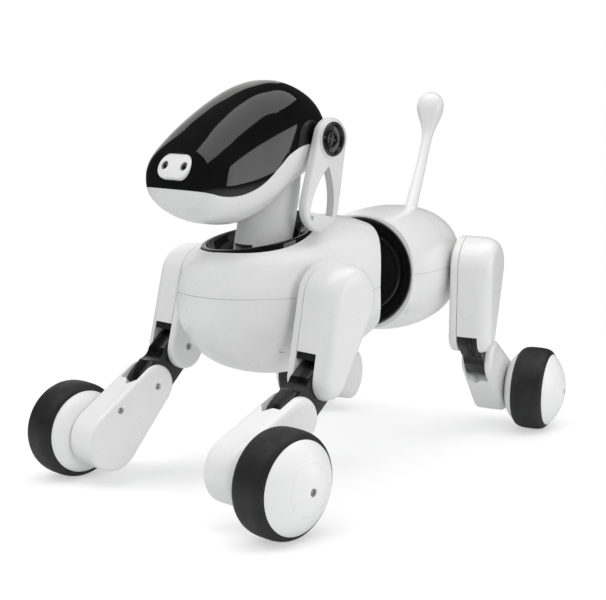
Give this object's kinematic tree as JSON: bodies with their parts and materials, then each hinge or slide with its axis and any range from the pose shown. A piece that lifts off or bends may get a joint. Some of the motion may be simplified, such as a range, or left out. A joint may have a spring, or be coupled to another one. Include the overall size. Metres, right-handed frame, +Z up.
{
  "type": "quadruped robot dog",
  "caption": "Walking and rolling robot dog: hollow front and rear body on a waist pivot, jointed legs with wheels, nodding head, loop ears, wagging tail.",
  "frame": {"origin": "middle of the bounding box, on the floor", "axes": "+X forwards to the nose of the front body, +Y to the left of the dog, +Z up"},
  "size_m": [0.376, 0.2676, 0.2462],
  "materials": {
    "gloss_white": "glossy",
    "gloss_black": "high gloss",
    "tyre_rubber": "matt, finely grained",
    "motor_grey": "matt",
    "circuit_green": "satin",
    "battery_sleeve": "satin"
  },
  "bodies": {
    "chest": {"chest_upper_shell": "gloss_white", "chest_lower_shell": "gloss_white", "neck_collar": "gloss_black", "chest_frame": "motor_grey", "battery_pack": "battery_sleeve", "main_board": "circuit_green", "shoulder_servo_left": "motor_grey", "shoulder_servo_right": "motor_grey", "waist_servo": "motor_grey", "neck_servo": "motor_grey"},
    "rear_body": {"rear_upper_shell": "gloss_white", "rear_lower_shell": "gloss_white", "waist_ring": "gloss_black", "waist_drum": "gloss_black", "hip_servo_left": "motor_grey", "hip_servo_right": "motor_grey", "speaker": "motor_grey", "charging_port": "motor_grey"},
    "button": {"power_button": "gloss_black"},
    "tail_body": {"tail": "gloss_white"},
    "neck": {"neck_shell": "gloss_white"},
    "head": {"head_visor": "gloss_black", "head_jaw": "gloss_white", "nose_plate": "gloss_white", "eye_lens_left": "gloss_black", "eye_lens_right": "gloss_black", "head_servo": "motor_grey"},
    "left_ear": {"ear_left": "gloss_white", "ear_cap_left": "gloss_black"},
    "right_ear": {"ear_right": "gloss_white", "ear_cap_right": "gloss_black"},
    "thigh_front_left": {"thigh_outer_front_left": "gloss_white", "thigh_inner_front_left": "gloss_white", "knee_servo_front_left": "motor_grey"},
    "link_front_left": {"knee_link_front_left": "gloss_black"},
    "shin_front_left": {"shin_shell_front_left": "gloss_white"},
    "wheel_front_left": {"wheel_hub_front_left": "gloss_white", "tyre_front_left": "tyre_rubber"},
    "thigh_front_right": {"thigh_outer_front_right": "gloss_white", "thigh_inner_front_right": "gloss_white", "knee_servo_front_right": "motor_grey"},
    "link_front_right": {"knee_link_front_right": "gloss_black"},
    "shin_front_right": {"shin_shell_front_right": "gloss_white"},
    "wheel_front_right": {"wheel_hub_front_right": "gloss_white", "tyre_front_right": "tyre_rubber"},
    "thigh_rear_left": {"thigh_outer_rear_left": "gloss_white", "thigh_inner_rear_left": "gloss_white", "knee_servo_rear_left": "motor_grey"},
    "link_rear_left": {"knee_link_rear_left": "gloss_black"},
    "shin_rear_left": {"shin_shell_rear_left": "gloss_white"},
    "wheel_rear_left": {"wheel_hub_rear_left": "gloss_white", "tyre_rear_left": "tyre_rubber"},
    "thigh_rear_right": {"thigh_outer_rear_right": "gloss_white", "thigh_inner_rear_right": "gloss_white", "knee_servo_rear_right": "motor_grey"},
    "link_rear_right": {"knee_link_rear_right": "gloss_black"},
    "shin_rear_right": {"shin_shell_rear_right": "gloss_white"},
    "wheel_rear_right": {"wheel_hub_rear_right": "gloss_white", "tyre_rear_right": "tyre_rubber"}
  },
  "joints": [
    {"name": "waist_yaw", "type": "hinge", "parent": "chest", "child": "rear_body", "pos_m": [-0.00151, 0.02235, 0.12276], "axis": [0, 0.0349, 0.9994], "range_deg": [-38, 2]},
    {"name": "neck_tilt", "type": "hinge", "parent": "chest", "child": "neck", "pos_m": [0.08699, 0.02301, 0.14175], "axis": [0, 0.9994, -0.0349], "range_deg": [-6, 5]},
    {"name": "head_nod", "type": "hinge", "parent": "neck", "child": "head", "pos_m": [0.07249, 0.02472, 0.19072], "axis": [0, 0.9994, -0.0349], "range_deg": [-11, 3]},
    {"name": "ear_swing_left", "type": "hinge", "parent": "head", "child": "left_ear", "pos_m": [0.06349, 0.05924, 0.21053], "axis": [0, -0.9994, 0.0349], "range_deg": [-20, 20]},
    {"name": "ear_swing_right", "type": "hinge", "parent": "head", "child": "right_ear", "pos_m": [0.06349, -0.00832, 0.21288], "axis": [0, -0.9994, 0.0349], "range_deg": [-20, 20]},
    {"name": "tail_wag", "type": "hinge", "parent": "rear_body", "child": "tail_body", "pos_m": [-0.10315, -0.00981, 0.1594], "axis": [0.95, 0.3121, -0.0109], "range_deg": [-12, 12]},
    {"name": "power_press", "type": "slide", "parent": "rear_body", "child": "button", "axis": [0, 0.0349, 0.9994], "range_m": [0, 0.0015], "stiffness_N_per_m": 500},
    {"name": "hip_front_left", "type": "hinge", "parent": "chest", "child": "thigh_front_left", "pos_m": [0.08249, 0.08376, 0.11911], "axis": [0, -0.9994, 0.0349], "range_deg": [-44, 41]},
    {"name": "knee_front_left", "type": "hinge", "parent": "thigh_front_left", "child": "link_front_left", "pos_m": [0.09755, 0.0822, 0.07441], "axis": [0, -0.9994, 0.0349], "range_deg": [-62, 38]},
    {"name": "ankle_front_left", "type": "hinge", "parent": "link_front_left", "child": "shin_front_left", "pos_m": [0.12151, 0.08151, 0.05475], "axis": [0, -0.9994, 0.0349], "range_deg": [-56, 44]},
    {"name": "wheel_spin_front_left", "type": "hinge", "parent": "shin_front_left", "child": "wheel_front_left", "pos_m": [0.15799, 0.08069, 0.03107], "axis": [0, -0.9994, 0.0349], "continuous": true},
    {"name": "hip_front_right", "type": "hinge", "parent": "chest", "child": "thigh_front_right", "pos_m": [0.08249, -0.03916, 0.12341], "axis": [0, -0.9994, 0.0349], "range_deg": [-47, 38]},
    {"name": "knee_front_right", "type": "hinge", "parent": "thigh_front_right", "child": "link_front_right", "pos_m": [0.09993, -0.0407, 0.07957], "axis": [0, -0.9994, 0.0349], "range_deg": [-54, 46]},
    {"name": "ankle_front_right", "type": "hinge", "parent": "link_front_right", "child": "shin_front_right", "pos_m": [0.12217, -0.04145, 0.05799], "axis": [0, -0.9994, 0.0349], "range_deg": [-52, 48]},
    {"name": "wheel_spin_front_right", "type": "hinge", "parent": "shin_front_right", "child": "wheel_front_right", "pos_m": [0.15449, -0.04247, 0.0289], "axis": [0, -0.9994, 0.0349], "continuous": true},
    {"name": "hip_rear_left", "type": "hinge", "parent": "rear_body", "child": "thigh_rear_left", "pos_m": [-0.09671, 0.05582, 0.12309], "axis": [0.3123, -0.9494, 0.0332], "range_deg": [-46, 39]},
    {"name": "knee_rear_left", "type": "hinge", "parent": "thigh_rear_left", "child": "link_rear_left", "pos_m": [-0.09214, 0.05568, 0.07611], "axis": [0.3123, -0.9494, 0.0332], "range_deg": [-36, 40]},
    {"name": "ankle_rear_left", "type": "hinge", "parent": "link_rear_left", "child": "shin_rear_left", "pos_m": [-0.11397, 0.04778, 0.05557], "axis": [0.3123, -0.9494, 0.0332], "range_deg": [-43, 57]},
    {"name": "wheel_spin_rear_left", "type": "hinge", "parent": "shin_rear_left", "child": "wheel_rear_left", "pos_m": [-0.14782, 0.03579, 0.03102], "axis": [0.3123, -0.9494, 0.0332], "continuous": true},
    {"name": "hip_rear_right", "type": "hinge", "parent": "rear_body", "child": "thigh_rear_right", "pos_m": [-0.05829, -0.06096, 0.12717], "axis": [0.3123, -0.9494, 0.0332], "range_deg": [-37, 48]},
    {"name": "knee_rear_right", "type": "hinge", "parent": "thigh_rear_right", "child": "link_rear_right", "pos_m": [-0.06073, -0.0634, 0.0801], "axis": [0.3123, -0.9494, 0.0332], "range_deg": [-63, 13]},
    {"name": "ankle_rear_right", "type": "hinge", "parent": "link_rear_right", "child": "shin_rear_right", "pos_m": [-0.07555, -0.06921, 0.0535], "axis": [0.3123, -0.9494, 0.0332], "range_deg": [-25, 75]},
    {"name": "wheel_spin_rear_right", "type": "hinge", "parent": "shin_rear_right", "child": "wheel_rear_right", "pos_m": [-0.1094, -0.0812, 0.02895], "axis": [0.3123, -0.9494, 0.0332], "continuous": true}
  ]
}
